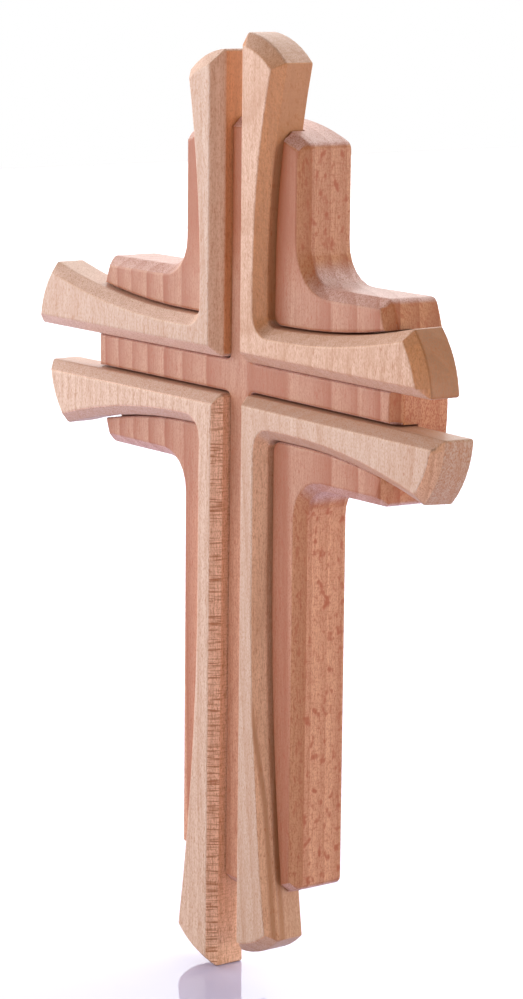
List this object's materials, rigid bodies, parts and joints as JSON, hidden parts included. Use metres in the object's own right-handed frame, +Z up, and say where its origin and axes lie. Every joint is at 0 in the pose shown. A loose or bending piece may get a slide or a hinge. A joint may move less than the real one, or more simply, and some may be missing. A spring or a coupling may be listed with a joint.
{
  "type": "wooden wall cross",
  "caption": "Wooden wall cross: a chamfered Latin cross with L-shaped pieces let into its front at the corners of the crossing, flaring past its ends, fixed by its flat back.",
  "frame": {"origin": "on the flat back face, behind the centre of the crossing, where the cross lies against a wall", "axes": "+Z up along the upright, +X to the right seen from the front, +Y out of the back face into the wall, so the carved front faces -Y"},
  "size_m": [0.2174, 0.0242, 0.3036],
  "materials": {
    "reddish_wood": "sanded, close to bare, satin",
    "pale_wood": "sanded, close to bare, satin"
  },
  "bodies": {
    "root": {"back_cross": "reddish_wood", "corner_upper_left": "pale_wood", "corner_upper_right": "pale_wood", "corner_lower_left": "pale_wood", "corner_lower_right": "pale_wood"}
  },
  "joints": []
}
